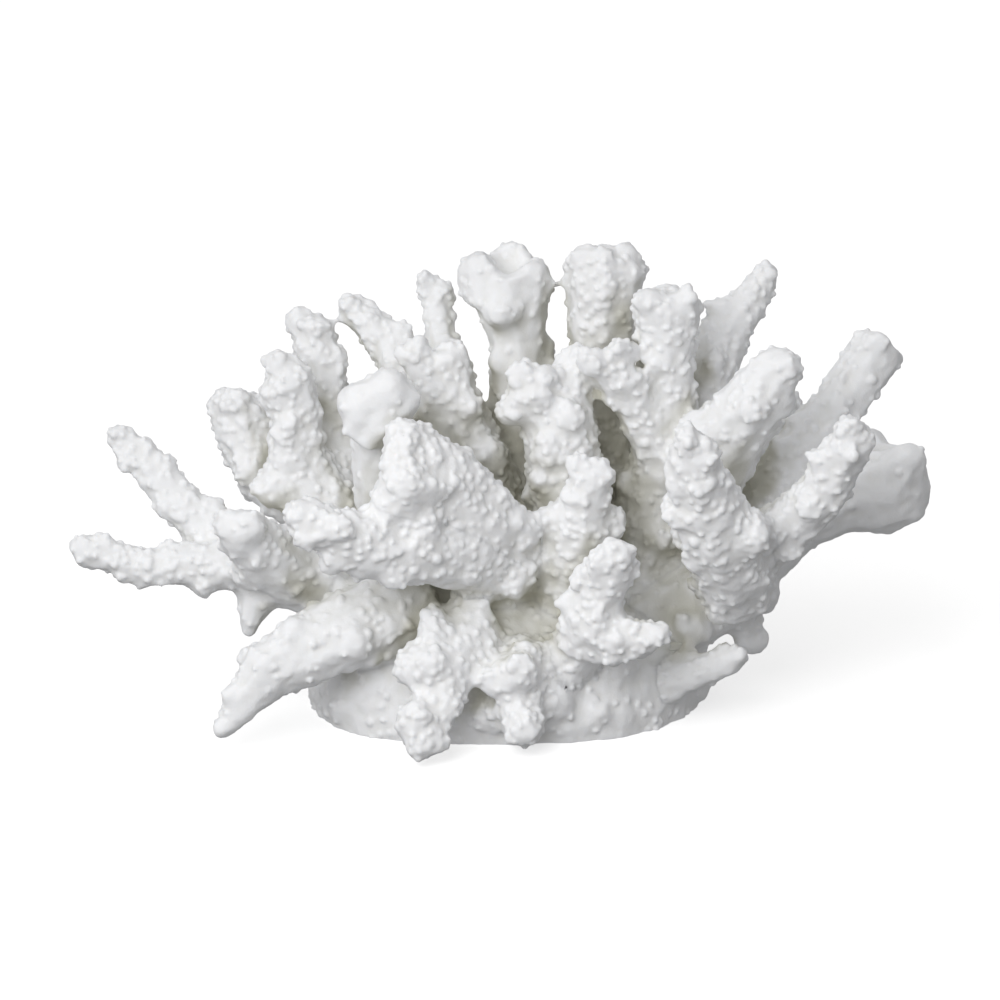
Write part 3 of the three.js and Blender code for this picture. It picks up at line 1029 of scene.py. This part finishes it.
def add_floor(colour):
    bm = bmesh.new()
    bmesh.ops.create_grid(bm, x_segments=1, y_segments=1, size=FLOOR_SIZE)
    mesh = bpy.data.meshes.new("studio_floor")
    bm.to_mesh(mesh)
    bm.free()
    floor = add_object("studio_floor", mesh)
    floor.visible_diffuse = False
    finish = bpy.data.materials.new("studio_floor")
    finish.use_nodes = True
    shader = finish.node_tree.nodes["Principled BSDF"]
    shader.inputs["Base Color"].default_value = colour
    shader.inputs["Roughness"].default_value = 0.9
    shader.inputs["Emission Color"].default_value = (1.0, 1.0, 1.0, 1.0)
    shader.inputs["Emission Strength"].default_value = 0.5
    mesh.materials.append(finish)


def soft_room():
    """Even light all round, brighter from above than from below."""
    world = bpy.data.worlds.new("studio")
    world.use_nodes = True
    nodes, links = world.node_tree.nodes, world.node_tree.links
    place = nodes.new("ShaderNodeTexCoord")
    parts = nodes.new("ShaderNodeSeparateXYZ")
    links.new(place.outputs["Generated"], parts.inputs[0])
    level = nodes.new("ShaderNodeMapRange")
    level.inputs["From Min"].default_value = -0.6
    level.inputs["From Max"].default_value = 0.8
    level.inputs["To Min"].default_value = 0.25
    level.inputs["To Max"].default_value = 0.43
    links.new(parts.outputs[2], level.inputs["Value"])
    nodes["Background"].inputs["Color"].default_value = (1.0, 1.0, 1.0, 1.0)
    links.new(level.outputs[0], nodes["Background"].inputs["Strength"])
    return world


class CORAL_OT_stage(bpy.types.Operator):
    """Sets the floor, the soft lights and the camera"""

    bl_idname = "coral.stage"
    bl_label = "Set the stage"

    def execute(self, context):
        scene = context.scene
        add_floor(scene.coral_colours.floor)
        add_sun("key_light", 1.0, math.radians(50.0), (-0.75, -1.0, 0.9), AIM)
        add_sun("back_light", 0.25, math.radians(90.0), (0.3, 1.0, 0.9), AIM)
        add_panel("front_light", 1.08, 0.3, (-0.14, -0.52, 0.30), AIM)
        scene.world = soft_room()
        scene.view_settings.view_transform = "Standard"
        camera = bpy.data.cameras.new("camera")
        camera.lens = CAMERA_LENS
        camera.sensor_width = CAMERA_SENSOR
        camera.clip_end = 50.0
        eye = add_object("camera", camera)
        eye.location = (
            0.0, -CAMERA_AWAY * math.cos(CAMERA_ELEVATION),
            AIM[2] + CAMERA_AWAY * math.sin(CAMERA_ELEVATION))
        eye.rotation_euler = (math.radians(90.0) - CAMERA_ELEVATION, 0.0, 0.0)
        scene.camera = eye
        return {"FINISHED"}


# ---------- panel and registration ----------


class CORAL_PT_panel(bpy.types.Panel):
    bl_idname = "CORAL_PT_panel"
    bl_label = "Coral"
    bl_space_type = "VIEW_3D"
    bl_region_type = "UI"
    bl_category = "Coral"

    def draw(self, context):
        layout = self.layout
        for group in (context.scene.coral_sizes, context.scene.coral_colours):
            for name in group.__annotations__:
                layout.prop(group, name)
        for step in STEPS:
            layout.operator(step.bl_idname)


STEPS = (CORAL_OT_grow_body, CORAL_OT_bead_skin, CORAL_OT_split_pieces, CORAL_OT_stage)
CLASSES = (CoralSizes, CoralColours) + STEPS + (CORAL_PT_panel,)


def register():
    for cls in CLASSES:
        bpy.utils.register_class(cls)
    bpy.types.Scene.coral_sizes = bpy.props.PointerProperty(type=CoralSizes)
    bpy.types.Scene.coral_colours = bpy.props.PointerProperty(type=CoralColours)


def unregister():
    del bpy.types.Scene.coral_colours
    del bpy.types.Scene.coral_sizes
    for cls in reversed(CLASSES):
        bpy.utils.unregister_class(cls)


def main():
    register()
    bpy.ops.coral.grow_body()
    bpy.ops.coral.bead_skin()
    bpy.ops.coral.split_pieces()
    bpy.ops.coral.stage()


if __name__ == "__main__":
    main()
